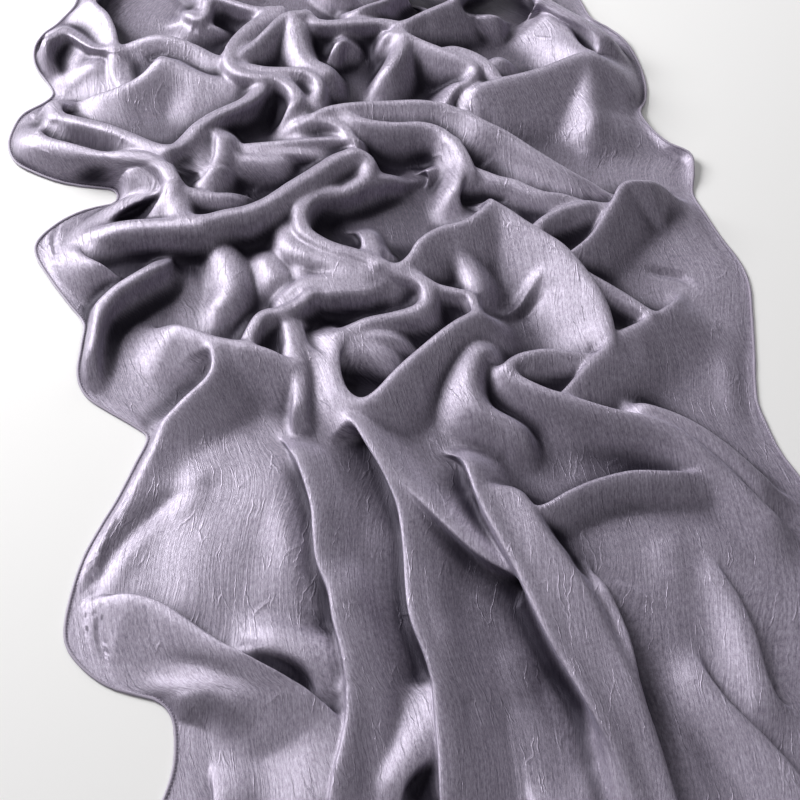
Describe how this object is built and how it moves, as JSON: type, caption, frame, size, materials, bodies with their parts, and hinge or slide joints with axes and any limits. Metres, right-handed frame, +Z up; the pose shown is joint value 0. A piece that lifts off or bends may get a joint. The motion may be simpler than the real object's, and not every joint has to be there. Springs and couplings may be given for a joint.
{
  "type": "satin scarf",
  "caption": "Long rectangular scarf of crinkled satin with narrow rolled hems, laid flat and gathered into loose uneven folds",
  "frame": {"origin": "middle of the bounding box, at the level of the surface it lies on", "axes": "+Y along the scarf to its far short end, +X to the right seen from the near short end, +Z up"},
  "size_m": [0.868, 1.456, 0.0502],
  "materials": {
    "satin": "crinkled satin, lustrous, grey mauve",
    "hem_satin": "rolled and stitched satin, softly lustrous, grey mauve"
  },
  "bodies": {
    "root": {"scarf_panel": "satin", "hem_left": "hem_satin", "hem_right": "hem_satin", "hem_near": "hem_satin", "hem_far": "hem_satin"}
  },
  "joints": []
}
